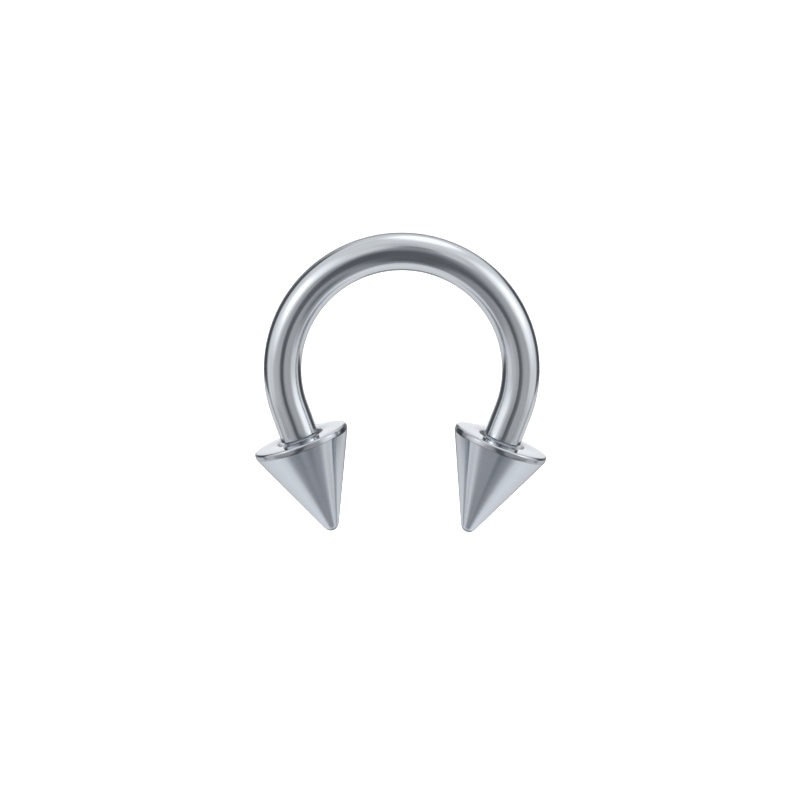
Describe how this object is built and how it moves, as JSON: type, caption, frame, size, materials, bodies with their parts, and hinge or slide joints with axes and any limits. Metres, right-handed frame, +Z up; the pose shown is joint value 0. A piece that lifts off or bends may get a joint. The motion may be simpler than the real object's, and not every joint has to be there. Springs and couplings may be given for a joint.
{
  "type": "horseshoe barbell",
  "caption": "Round steel wire bent to a horseshoe, with a screw-on cone at each end; a piercing jewel that lies on its side.",
  "frame": {"origin": "on the surface that the jewel lies on, under the middle of its box", "axes": "+Z up from the surface, +Y towards the top of the curve, +X to the right with the tips pointing towards -Y"},
  "size_m": [0.0092, 0.0096, 0.0031],
  "materials": {
    "polished_steel_wire": "drawn wire, polished bright, with faint lines along it",
    "polished_steel_cone": "turned and polished bright, with faint rings round it"
  },
  "bodies": {
    "bar": {"bar": "polished_steel_wire"},
    "cone_left": {"cone_left": "polished_steel_cone"},
    "cone_right": {"cone_right": "polished_steel_cone"}
  },
  "joints": [
    {"name": "cone_left_unscrew", "type": "slide", "parent": "bar", "child": "cone_left", "axis": [0.342, -0.9289, 0.1423], "range_m": [0, 0.003]},
    {"name": "cone_right_unscrew", "type": "slide", "parent": "bar", "child": "cone_right", "axis": [-0.342, -0.9289, 0.1423], "range_m": [0, 0.003]}
  ]
}
